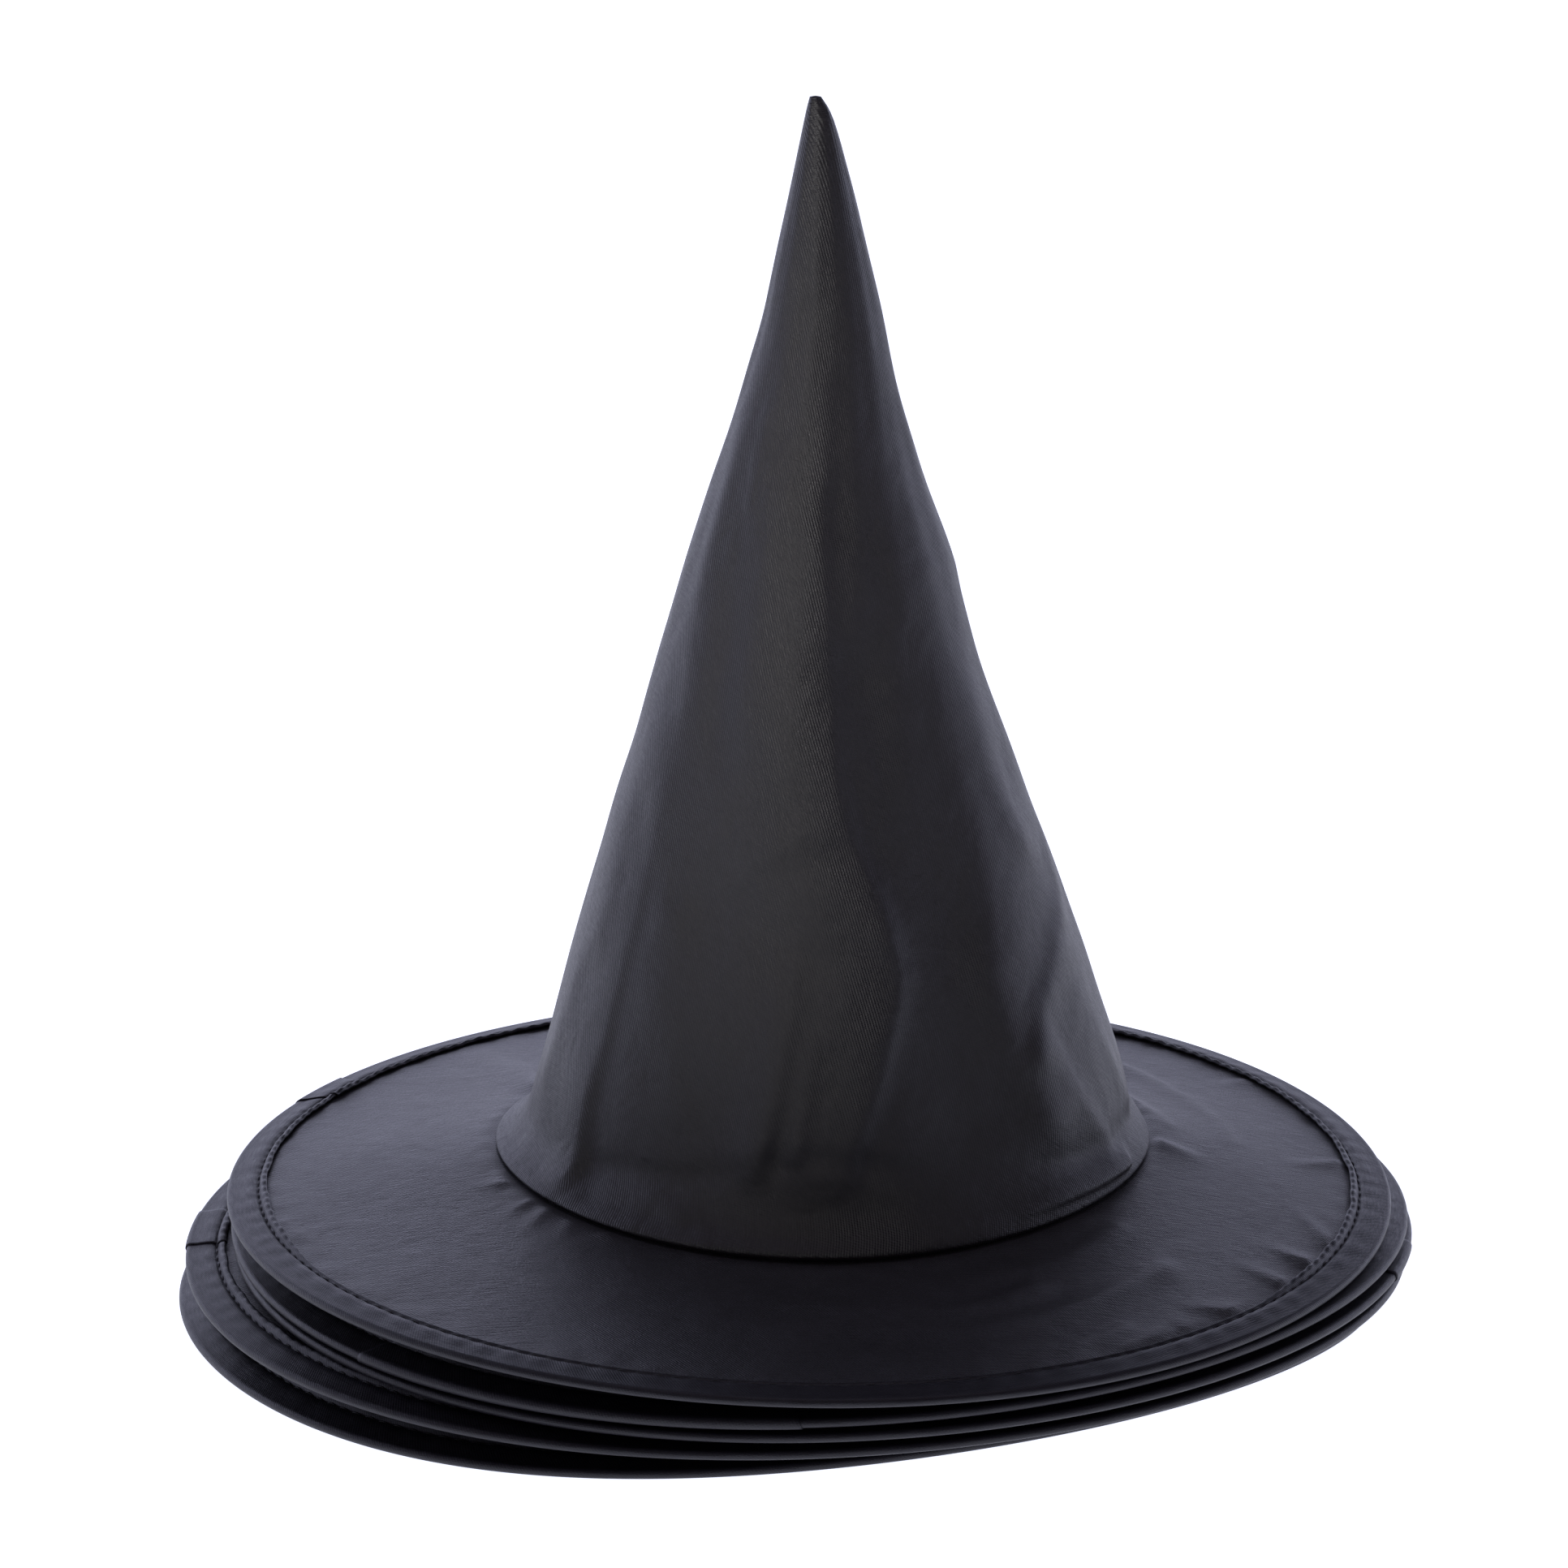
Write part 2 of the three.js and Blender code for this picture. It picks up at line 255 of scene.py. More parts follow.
# Folds of the crown. Each is a line of (azimuth from the front in degrees, height in mm), then
# its half widths on either side, then its rise out of the cone at its start and at its end.
# Lines run down or to the right, with the left or lower side's width first.
CROWN_FOLDS = [
    ([(-52, 110), (-54, 46), (-55, 30), (-54, 12)], (14, 3.2), (0.3, 3.0)),
    ([(-7, 80), (-10, 50), (-14, 22)], (8, 3), (0.2, 2.2)),
    ([(-3, 62), (-7, 24)], (3.5, 2.6), (0, 1.2)),
    ([(-30, 300), (-20, 246), (-13, 196), (-8, 150), (-6, 100)], (17, 15), (0.4, 1.8)),
    ([(-2, 200), (3, 150), (3, 124), (8, 103), (13, 90), (16, 72), (9, 46), (3, 26)], (24, 4),
     (0.8, 2.6)),
    ([(40, 200), (47, 150), (49, 111), (46, 90), (40, 66), (41, 50), (46, 30)], (8, 14),
     (0.3, 3.2)),
    ([(84, 96), (78, 82), (64, 70), (50, 56), (46, 46)], (4, 7), (0.4, 1.9)),
    ([(52, 44), (56, 30), (62, 15)], (6, 4), (0.8, 1.3)),
    ([(72, 52), (76, 34), (80, 20)], (6, 5), (0.2, 1.0)),
    ([(-48, 12.5), (-30, 14), (-14, 21), (-4, 24), (12, 20), (32, 16), (60, 14), (100, 13)],
     (3.5, 3.5), (-0.7, -0.6)),
    ([(-40, 13), (-33, 9), (-27, 6)], (2.2, 2.2), (0.2, 0.8)),
    ([(-27, 11), (-23, 5), (-20, 1)], (2.4, 2.0), (0.2, 0.9)),
    ([(-46, 10), (-42, 4)], (2.5, 2.5), (0.2, 0.5)),
    ([(8, 17), (14, 9)], (4, 4), (0.2, 0.4)),
    ([(-41, 226), (-38, 196)], (2.2, 2.2), (0.2, 0.5)),
    ([(-47, 214), (-44, 182)], (2.5, 2.5), (0.2, 0.4)),
    ([(-66, 120), (-65, 73)], (6, 6), (0.3, 0.8)),
    ([(-70, 96), (-72, 60), (-76, 30)], (8, 7), (0.2, 1.0)),
    ([(16, 150), (19, 134)], (12, 12), (-1.0, -1.0)),
    ([(-28, 110), (-26, 60), (-28, 30)], (20, 20), (-1.5, -2.2)),
    ([(28, 150), (28, 80), (26, 30)], (16, 16), (-1.4, -3.2)),
    ([(150, 120), (146, 60), (150, 18)], (14, 10), (0.4, 2.0)),
    ([(-140, 150), (-138, 70), (-142, 16)], (12, 14), (0.4, 1.8)),
    ([(112, 90), (116, 50), (112, 16)], (9, 7), (0.2, 1.4)),
    ([(-106, 84), (-104, 44), (-108, 14)], (8, 9), (0.2, 1.3)),
    ([(100, 210), (96, 176)], (8, 8), (0.3, 1.0)),
    ([(-50, 222), (-43, 196), (-36, 160), (-33, 130)], (5, 7), (-0.5, -0.9)),
    ([(-62, 214), (-56, 180), (-50, 140)], (5, 6), (0.3, 0.6)),
    ([(-44, 92), (-27, 88), (-10, 98), (1, 104)], (11, 5), (-0.5, -0.9)),
    ([(-60, 128), (-48, 104), (-42, 84)], (7, 9), (0.4, 0.9)),
    ([(-46, 72), (-36, 56), (-32, 34)], (8, 6), (0.3, 0.8)),
    ([(1, 104), (10, 92), (14, 82)], (5, 9), (0.2, 0.9)),
    ([(26, 232), (30, 200), (28, 170)], (7, 9), (-0.4, -0.8)),
    ([(60, 150), (58, 120), (64, 100)], (6, 8), (0.3, 1.1)),
]

# Only the top hat's foot has room for these two, which hang out over its head seam.
TOP_FOOT_FOLDS = [
    ([(10, 3.5), (28, 4.5), (46, 6), (66, 6)], (2.2, 4), (0.3, 2.4)),
    ([(-58, 5), (-50, 4)], (2, 3), (0.3, 1.0)),
]


class Hat:
    """How one hat lies in the stack. Angles run anticlockwise from +X."""

    def __init__(self, number):
        self.body = f"hat_{number}"
        self.number = number
        low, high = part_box(f"{self.body}_crown_shell")
        self.x = (low.x + high.x) / 2
        self.y = (low.y + high.y) / 2
        self.seam = high.z - CROWN_HEIGHT
        self.saddle = self.seam + SEAM_GAP - low.z
        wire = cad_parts[f"{self.body}_hoop_wire"].data
        corners = np.empty(len(wire.vertices) * 3)
        wire.vertices.foreach_get("co", corners)
        corners = corners.reshape(-1, 3)
        around = np.arctan2(corners[:, 1] - self.y, corners[:, 0] - self.x)
        step = 2 * math.pi / WIRE_STATIONS
        stations = np.round(around / step).astype(int) % WIRE_STATIONS
        middles = np.array([
            (corners[stations == k].min(axis=0) + corners[stations == k].max(axis=0)) / 2
            for k in range(WIRE_STATIONS)])
        angle = step * np.arange(WIRE_STATIONS)
        round_hoop = np.stack([
            self.x + WIRE_RING_RADIUS * np.cos(angle),
            self.y + WIRE_RING_RADIUS * np.sin(angle),
            np.zeros(WIRE_STATIONS)], axis=1)
        self.waves = np.linalg.lstsq(self.wave_terms(angle), middles - round_hoop, rcond=None)[0]

    @staticmethod
    def wave_terms(angle):
        turns = [np.ones_like(angle)]
        for count in range(1, WIRE_WAVES):
            turns += [np.cos(count * angle), np.sin(count * angle)]
        return np.stack(turns, axis=-1)

    def settle(self, angle, radius, height):
        """The place of a point of the flat, round brim once the hat has taken up its shape."""
        outward = np.clip((radius - SEAM_RADIUS) / (TAPE_RADIUS - SEAM_RADIUS), 0, 1)
        hoop = self.wave_terms(angle) @ self.waves
        seam = self.seam + self.saddle * np.cos(2 * angle)
        downhill = np.clip((radius - SEAM_RADIUS) / (WIRE_RING_RADIUS - SEAM_RADIUS), 0, 1)
        level = seam + downhill * (hoop[..., 2] - BRIM_MIDDLE - seam)
        return np.stack([
            self.x + radius * np.cos(angle) + outward * hoop[..., 0],
            self.y + radius * np.sin(angle) + outward * hoop[..., 1],
            np.maximum(level + height, 0)], axis=-1)


hats = [Hat(number) for number in range(1, HAT_COUNT + 1)]


def azimuth_of(angle):
    """Degrees from the front, growing to the right, in -180 to 180."""
    return (np.degrees(angle) + 270) % 360 - 180


def fold_rise(folds, azimuth, reach, radius):
    """How far a set of folds lifts each point of a sheet. Rise, reach and radius are metres."""
    arc = np.radians(azimuth) * radius
    rise = np.zeros(azimuth.shape)
    for line, (low_width, high_width), (first_rise, last_rise) in folds:
        nearest = np.full(azimuth.shape, np.inf)
        lifted = np.zeros(azimuth.shape)
        pieces = len(line) - 1
        for index in range(pieces):
            (from_azimuth, from_reach), (to_azimuth, to_reach) = line[index], line[index + 1]
            run = math.radians(to_azimuth - from_azimuth) * radius
            climb = (to_reach - from_reach) * MM
            right = arc - math.radians(from_azimuth) * radius
            up = reach - from_reach * MM
            along = np.clip((right * run + up * climb) / (run * run + climb * climb), 0, 1)
            distance = np.hypot(right - along * run, up - along * climb)
            side = (run * up - climb * right) / (np.hypot(run, climb) * distance + 0.01 * MM ** 2)
            width = (low_width + (high_width - low_width) * (0.5 + 0.5 * side)) * MM
            share = (index + along) / pieces
            height = (first_rise + (last_rise - first_rise) * share) * MM
            closer = distance < nearest
            nearest = np.where(closer, distance, nearest)
            lifted = np.where(closer, height * np.exp(-((distance / width) ** 2)), lifted)
        rise += lifted
    return rise


def crown_places(hat, angle, height, inset):
    """Points of the crown's face, or of a layer that lies inside it by the inset. The hats were
    creased as a stack, so a hat's folds lie level with the top hat's while they are nested."""
    table = np.array(CROWN_REACH) * MM
    window = (-5 * MM, -2.5 * MM, 0, 2.5 * MM, 5 * MM)
    soften = (np.clip(height / (20 * MM), 0, 1)
              * np.clip((CROWN_HEIGHT - height) / (12 * MM), 0, 1))
    left = sum(np.interp(height + soften * d, table[:, 0], table[:, 1]) for d in window) / 5
    right = sum(np.interp(height + soften * d, table[:, 0], table[:, 2]) for d in window) / 5
    radius = (left + right) / 2
    azimuth = azimuth_of(angle)
    folds = CROWN_FOLDS + TOP_FOOT_FOLDS if hat.number == 1 else CROWN_FOLDS
    room = np.clip(radius / (30 * MM), 0, 1) * np.clip(height / (5 * MM), 0, 1)
    nested = height + hat.seam - hats[0].seam
    lift = fold_rise(folds, azimuth, nested, radius) * room
    lift += room * MM * UNEVENNESS * (
        np.sin(3 * angle + 31 * nested) * np.sin(5 * angle - 47 * nested + 1.3)
        + 0.6 * np.sin(9 * angle + 83 * nested + 1) * np.sin(4 * angle - 61 * nested)
        + 0.4 * np.sin(7 * angle - 130 * nested) * np.sin(12 * angle + 70 * nested + 0.6))
    back_seam = np.minimum(180 - np.abs(azimuth), 180) * math.pi / 180 * radius
    lift += BACK_SEAM_RISE * room * (np.exp(-((back_seam / (2.2 * MM)) ** 2))
                                     - 1.5 * np.exp(-((back_seam / (0.7 * MM)) ** 2)))
    reach = np.maximum(radius + lift - inset, 0.2 * MM)
    overhang = OVERHANG * np.clip((height - 1.5 * MM) / (2 * MM), 0, 1)
    base = hat.settle(angle, np.minimum(reach, SEAM_RADIUS + overhang), SEAM_GAP + height)
    fade = np.clip(1 - height / FLARE_HEIGHT, 0, 1)
    base[..., 2] -= hat.saddle * np.cos(2 * angle) * (1 - fade)
    base[..., 0] += (right - left) / 2
    return base


def sheet_mesh(name, places, flat, tip=None):
    """A sheet wrapped round into a ring, from rows of places that run anticlockwise.

    flat holds the same rows with one column more: each point's place on the flat cut cloth."""
    rows, columns = places.shape[:2]
    corners = [tuple(p) for p in places.reshape(-1, 3)]
    faces = []
    spots = []
    for row in range(rows - 1):
        for column in range(columns):
            after = (column + 1) % columns
            faces.append((row * columns + column, row * columns + after,
                          (row + 1) * columns + after, (row + 1) * columns + column))
            spots += [flat[row, column], flat[row, column + 1],
                      flat[row + 1, column + 1], flat[row + 1, column]]
    if tip is not None:
        corners.append(tuple(tip))
        last = (rows - 1) * columns
        for column in range(columns):
            after = (column + 1) % columns
            faces.append((last + column, last + after, len(corners) - 1))
            spots += [flat[-1, column], flat[-1, column + 1],
                      (flat[-1, column] + flat[-1, column + 1]) / 2]
    return finished_mesh(name, corners, faces, np.array(spots))


def finished_mesh(name, corners, faces, spots):
    mesh = bpy.data.meshes.new(name)
    mesh.from_pydata(corners, [], faces)
    mesh.uv_layers.new(name="cut").data.foreach_set("uv", spots[:, :2].astype(np.float32).ravel())
    mesh.update()
    mesh.shade_smooth()
    piece = bpy.data.objects.new(name, mesh)
    bpy.context.scene.collection.objects.link(piece)
    return piece


def give_wall(piece, thickness):
    """Turns a sheet into cloth with an outer and an inner face, and applies it."""
    bpy.ops.object.select_all(action="DESELECT")
    bpy.context.view_layer.objects.active = piece
    piece.select_set(True)
    wall = piece.modifiers.new("wall", "SOLIDIFY")
    wall.thickness = thickness
    wall.offset = -1
    bpy.ops.object.modifier_apply(modifier="wall")


def new_finish(name):
    """A new material with an emptied node tree, and the Finish that builds its nodes."""
    material = bpy.data.materials.new(name)
    material.use_nodes = True
    material.node_tree.nodes.clear()
    return material, Finish(material.node_tree)


def noise(finish, place, scale, detail, roughness, distortion=0.0):
    return finish.add("ShaderNodeTexNoise", {}, {
        "Vector": place, "Scale": scale, "Detail": detail, "Roughness": roughness,
        "Distortion": distortion})


def cover(finish, colour, roughness, height, others, strength=1.0):
    """Joins a finish's colour, roughness and relief into its surface."""
    bumped = finish.add("ShaderNodeBump", {}, {
        "Strength": strength, "Distance": MM, "Height": height})
    surface = finish.add("ShaderNodeBsdfPrincipled", {}, {
        "Base Color": colour, "Roughness": roughness, "Normal": bumped, **others})
    finish.node("ShaderNodeOutputMaterial", {}, {"Surface": surface})


def satin(name, dark, light, roughness, twill, slub, cockle, lustre=0.5):
    """Woven satin: fine diagonal twill, faint slubs along the weft, and a slightly cockled hand.
    Colours are linear. The pattern follows the cut cloth."""
    material, finish = new_finish(name)
    cut = finish.add("ShaderNodeUVMap", {"uv_map": "cut"}, {})
    parts = finish.node("ShaderNodeSeparateXYZ", {}, {"Vector": cut})
    warp = Value(finish, parts.outputs["X"])
    weft = Value(finish, parts.outputs["Y"])
    pitch = 2 * math.pi / TWILL_PITCH
    ribs = ((warp + 0.8 * weft) * pitch).sine()
    threads = ((weft - 0.25 * warp) * (pitch * 1.7)).sine()
    long_way = finish.add("ShaderNodeCombineXYZ", {}, {"X": warp * 0.12, "Y": weft, "Z": 0.0})
    slubs = noise(finish, long_way, 1400.0, 2.0, 0.6)
    place = finish.add("ShaderNodeTexCoord", {}, {}, output="Object")
    hand = noise(finish, place, 45.0, 3.0, 0.55, distortion=0.4)
    specks = noise(finish, cut, 1500.0, 2.0, 0.6)
    creasing = noise(finish, place, 130.0, 2.0, 0.5, distortion=0.8)
    shade = (0.40 * slubs.between(0.35, 0.75) + 0.25 * (ribs * 0.5 + 0.5)
             + 0.35 * hand.between(0.3, 0.7))
    colour = finish.blend(shade, dark, light)
    gloss = roughness + 0.05 * (hand - 0.5) + 0.16 * (specks - 0.5) + 0.22 * (slubs - 0.5)
    height = (twill * (ribs + 0.4 * threads) + slub * slubs + 0.7 * slub * specks
              + cockle * (hand + 0.16 * creasing))
    cover(finish, colour, gloss, height, {"Sheen Weight": 0.0, "Specular IOR Level": lustre})
    return material


crown_finish = satin("crown_satin", (0.0032, 0.0027, 0.0042, 1), (0.0068, 0.0058, 0.0086, 1),
                     0.49, twill=0.036, slub=0.15, cockle=1.3)

SECTOR_SHARE = 88.5 / 322   # how much of a full circle the crown's flat sector fills
SLANT_PER_HEIGHT = 1.045
TIP_MARGIN = 1 * MM
FOOT_ROWS_TOP = 32 * MM     # the rows below this crowd together towards the foot,
SIDE_ROWS_TOP = 297 * MM    # those above it are even up to here, and the rest round the tip off
TIP_ROWS_RISE = 11.4 * MM
TOP_CROWN = {"columns": 284, "low_rows": 30, "high_rows": 130, "tip_rows": 8}
LOWER_CROWN = {"columns": 168, "low_rows": 16, "high_rows": 66, "tip_rows": 5}


def crown_rows(low_rows, high_rows, tip_rows, top=1.0):
    """Heights of the crown's rows: close together at its foot and at its tip. The first rows
    are the seam allowance, turned down into the head seam."""
    tucked = np.array([-1.7, -1.1, -0.5]) * MM
    low = FOOT_ROWS_TOP * np.linspace(0, 1, low_rows, endpoint=False) ** 1.4
    high = np.linspace(FOOT_ROWS_TOP, SIDE_ROWS_TOP, high_rows, endpoint=False)
    tip = SIDE_ROWS_TOP + TIP_ROWS_RISE * np.sin(np.linspace(0, math.pi / 2, tip_rows))
    rows = np.concatenate([tucked, low, high, tip])
    return rows[rows < top]


def crown_columns(count):
    """Angles round the crown from its back seam, closer together at the front."""
    share = np.linspace(0, 2 * math.pi, count, endpoint=False)
    return math.pi / 2 + share + 0.33 * np.sin(share)


def crown_cut(angles, heights):
    """The flat sector that the cone is made of, with one column more for its second edge."""
    turned = np.append(angles, angles[0] + 2 * math.pi) - math.pi
    slant = (CROWN_HEIGHT - heights) * SLANT_PER_HEIGHT + TIP_MARGIN
    sweep = (turned * SECTOR_SHARE)[None, :]
    return np.stack([slant[:, None] * np.sin(sweep), -slant[:, None] * np.cos(sweep)], axis=-1)


for hat in hats:
    size = TOP_CROWN if hat.number == 1 else LOWER_CROWN
    angles = crown_columns(size["columns"])
    heights = crown_rows(size["low_rows"], size["high_rows"], size["tip_rows"])
    angle, height = np.meshgrid(angles, heights)
    places = crown_places(hat, angle, height, 0)
    tip = places[-1].mean(axis=0) + np.array([0, 0, TIP_HEIGHT])
    crown = sheet_mesh(f"{hat.body}_crown_satin", places, crown_cut(angles, heights), tip)
    give_wall(crown, SATIN_WALL)
    crown.data.materials.append(crown_finish)
    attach(crown, hat.body)
    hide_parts(f"{hat.body}_crown_shell")


# ---- Crown stiffener ----------------------------------------------------------------------
# A cone of needled non-woven, fused to the inside of the satin. It stops short of the tip.

STIFFENER_WALL = 0.4 * MM
STIFFENER_TOP = 235 * MM
STIFFENER_GAP = 0.12 * MM
STIFFENER_COLUMNS = 120
STIFFENER_ROWS = {"low_rows": 12, "high_rows": 44, "tip_rows": 4}


def felted(name, dark, light, roughness, grain):
    """Pressed fibres: mottled, matt and slightly hairy."""
    material, finish = new_finish(name)
    place = finish.add("ShaderNodeTexCoord", {}, {}, output="Object")
    clumps = noise(finish, place, 350.0, 6.0, 0.7)
    fibres = noise(finish, place, 2200.0, 3.0, 0.6, distortion=2.0)
    mottling = 0.6 * clumps.between(0.3, 0.7) + 0.4 * fibres.between(0.3, 0.7)
    colour = finish.blend(mottling, dark, light)
    cover(finish, colour, roughness + 0.1 * fibres, grain * (clumps + 0.6 * fibres), {})
    return material


nonwoven_finish = felted("nonwoven", (0.045, 0.045, 0.048, 1), (0.09, 0.09, 0.094, 1), 0.85, 0.12)

for hat in hats:
    angles = crown_columns(STIFFENER_COLUMNS)
    heights = crown_rows(**STIFFENER_ROWS, top=STIFFENER_TOP)
    heights = heights[heights >= 0]
    angle, height = np.meshgrid(angles, heights)
    places = crown_places(hat, angle, height, SATIN_WALL + STIFFENER_GAP)
    stiffener = sheet_mesh(f"{hat.body}_stiffener_cone", places, crown_cut(angles, heights))
    give_wall(stiffener, STIFFENER_WALL)
    stiffener.data.materials.append(nonwoven_finish)
    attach(stiffener, hat.body)
    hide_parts(f"{hat.body}_crown_stiffener")


# ---- Sweatband ----------------------------------------------------------------------------
# A 20 mm ribbed grosgrain ribbon inside the head opening, caught in the head seam.

SWEATBAND_HEIGHT = 20 * MM
SWEATBAND_WALL = 0.25 * MM
SWEATBAND_INSET = 1.12 * MM
SWEATBAND_COLUMNS = 144
SWEATBAND_ROWS = 14
RIB_PITCH = 1.1 * MM


def ribbed(name, dark, light):
    """Grosgrain: fine ribs across the ribbon."""
    material, finish = new_finish(name)
    cut = finish.add("ShaderNodeUVMap", {"uv_map": "cut"}, {})
    parts = finish.node("ShaderNodeSeparateXYZ", {}, {"Vector": cut})
    along = Value(finish, parts.outputs["X"])
    ribs = (along * (2 * math.pi / RIB_PITCH)).sine()
    wear = noise(finish, cut, 300.0, 4.0, 0.6)
    colour = finish.blend(0.5 * (ribs * 0.5 + 0.5) + 0.5 * wear, dark, light)
    cover(finish, colour, 0.72 + 0.12 * wear, 0.09 * ribs + 0.05 * wear, {})
    return material


def strip_cut(angles, radius, widths):
    """The flat strip that a ribbon round the hat is cut as."""
    around = np.append(angles, angles[0] + 2 * math.pi)[None, :] * radius
    return np.stack(np.broadcast_arrays(around, widths[:, None]), axis=-1)


grosgrain_finish = ribbed("grosgrain", (0.006, 0.006, 0.007, 1), (0.016, 0.016, 0.018, 1))

for hat in hats:
    angles = crown_columns(SWEATBAND_COLUMNS)
    heights = np.linspace(0, SWEATBAND_HEIGHT, SWEATBAND_ROWS)
    angle, height = np.meshgrid(angles, heights)
    places = crown_places(hat, angle, height, SWEATBAND_INSET)
    cut = strip_cut(angles, SEAM_RADIUS, heights)
    sweatband = sheet_mesh(f"{hat.body}_grosgrain_band", places, cut)
    give_wall(sweatband, SWEATBAND_WALL)
    sweatband.data.materials.append(grosgrain_finish)
    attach(sweatband, hat.body)
    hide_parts(f"{hat.body}_sweatband")


# ---- Brim ---------------------------------------------------------------------------------
# Two plies of black satin with a non-woven interlining between them, cut as flat rings and held
# taut between the head seam and the hoop. The satin puckers along both seams.

BRIM_HOLE_RADIUS = 95 * MM
PLY_EDGE_RADIUS = 173.8 * MM
BRIM_SATIN_WALL = 0.4 * MM
INTERLINING_WALL = 0.6 * MM
INTERLINING_TOP = -0.5 * MM
UNDERSIDE_TOP = -1.2 * MM
SLACK_RISE = 0.35 * MM
SEAM_DRAW = 0.5 * MM    # how deep the head seam draws the satin in
PUCKER_RISE = 0.16      # mm, as are the radii that a lower brim's puckers start from
TAPE_PUCKERS_FROM = 164
SEAM_PUCKERS_FROM = 97
TAPE_PUCKERS = 26
SEAM_PUCKERS = 18
LONG_FOLDS = 7

# Folds of the top hat's brim: lines of (azimuth, radius in mm), half widths, and rises.
TOP_BRIM_FOLDS = [
    ([(-6, 120), (6, 124), (18, 129), (29, 124)], (4, 5), (0.3, 0.9)),
    ([(4, 134), (18, 140), (32, 139), (47, 135)], (5, 5), (0.4, 1.0)),
    ([(18, 152), (26, 157), (34, 156)], (3.5, 4), (0.3, 0.6)),
    ([(22, 112), (36, 114), (50, 110)], (4, 5), (0.3, 0.7)),
    ([(33, 165), (40, 158)], (2.5, 3), (0.9, 0.2)),
    ([(47, 165), (43, 153)], (2.5, 3.5), (1.2, 0.2)),
    ([(56, 165), (56, 148)], (2.5, 3.5), (1.2, 0.2)),
    ([(62, 165), (63, 150)], (2.5, 4), (1.7, 0.2)),
    ([(68, 165), (74, 150)], (2.5, 3.5), (1.2, 0.2)),
    ([(40, 164), (41, 155)], (3, 3), (0.7, 0.1)),
    ([(92, 163), (89, 146)], (3, 3), (1.0, 0.2)),
    ([(120, 163), (119, 148)], (4, 3), (1.0, 0.2)),
    ([(140, 128), (131, 128), (118, 125), (94, 126)], (3.5, 6), (1.5, 0.3)),
    ([(122, 99), (108, 101), (97, 105)], (3.5, 5), (1.4, 0.5)),
    ([(86, 98), (84, 112)], (4, 5), (1.4, 0.3)),
    ([(-52, 99), (-49, 110)], (2.2, 3), (1.1, 0.2)),
    ([(-46, 99), (-43, 107)], (2.2, 2.5), (0.8, 0.2)),
    ([(-57, 99), (-56, 107)], (2, 2), (1.1, 0.2)),
    ([(-66, 99), (-68, 106)], (2, 3), (0.9, 0.2)),
    ([(-38, 99), (-34, 104)], (2, 2), (0.8, 0.1)),
    ([(-73, 164), (-66, 160)], (2.5, 2.5), (0.6, 0.2)),
    ([(-135, 150), (-130, 124), (-123, 102)], (6, 7), (0.4, 1.6)),
    ([(-148, 154), (-142, 128), (-136, 104)], (5, 6), (0.3, 1.0)),
    ([(-20, 98), (-10, 101), (4, 100)], (3, 3), (0.2, 0.4)),
    ([(165, 100), (168, 130), (172, 160)], (7, 7), (1.0, 0.3)),
    ([(-168, 100), (-172, 128)], (6, 6), (0.9, 0.3)),
]


def scattered_folds(seed):
    """Brim folds for a hat that lies under others: short radial puckers and a few long folds."""
    draw = np.random.default_rng(seed)
    folds = []
    for azimuth in draw.uniform(-180, 180, TAPE_PUCKERS):
        length = draw.uniform(8, 20)
        slant = draw.uniform(-3, 3)
        rise = draw.uniform(0.5, 1.1)
        line = [(azimuth, TAPE_PUCKERS_FROM), (azimuth + slant, TAPE_PUCKERS_FROM - length)]
        folds.append((line, (3, 3.5), (rise, 0.1)))
    for azimuth in draw.uniform(-180, 180, SEAM_PUCKERS):
        length = draw.uniform(5, 14)
        slant = draw.uniform(-4, 4)
        rise = draw.uniform(0.4, 1.0)
        line = [(azimuth, SEAM_PUCKERS_FROM), (azimuth + slant, SEAM_PUCKERS_FROM + length)]
        folds.append((line, (2.5, 3), (rise, 0.1)))
    for azimuth in draw.uniform(-170, 170, LONG_FOLDS):
        slant = draw.uniform(-14, 14)
        rise = draw.uniform(0.6, 1.3)
        line = [(azimuth, 102), (azimuth + slant / 2, 130), (azimuth + slant, 156)]
        folds.append((line, (6, 7), (rise, 0.2)))
    return folds


def brim_lift(hat, angle, radius, folds, share):
    """The height that folds, seam puckers and slack add to a brim ply."""
    taut = (np.clip((radius - SEAM_RADIUS) / (4 * MM), 0, 1)
            * np.clip((PLY_EDGE_RADIUS - 8 * MM - radius) / (3 * MM), 0, 1))
    near_tape = np.exp(-((TAPE_RADIUS - radius) / (5 * MM)) ** 2)
    near_seam = np.exp(-((radius - SEAM_RADIUS) / (5 * MM)) ** 2)
    at_tape = np.sin(61 * angle + 2.1 * np.sin(7 * angle + hat.number))
    at_seam = np.sin(53 * angle + 2.6 * np.sin(5 * angle - hat.number))
    puckers = near_tape * at_tape * PUCKER_RISE * MM
    puckers += near_seam * at_seam * PUCKER_RISE * MM
    slack = SLACK_RISE * np.sin(3 * angle + 40 * radius + hat.number) * np.sin(
        5 * angle - 25 * radius)
    lift = fold_rise(folds, azimuth_of(angle), radius, radius) + puckers + slack
    drawn_in = -SEAM_DRAW * np.exp(-(((radius - SEAM_RADIUS) / (1.6 * MM)) ** 2))
    return lift * taut * share + drawn_in


def ring_cut(angles, radii):
    """The flat ring that a brim ply is cut as."""
    around = np.append(angles, angles[0] + 2 * math.pi)[None, :]
    return np.stack([radii[:, None] * np.cos(around), radii[:, None] * np.sin(around)], axis=-1)


def even_columns(count):
    return math.pi / 2 + np.linspace(0, 2 * math.pi, count, endpoint=False)
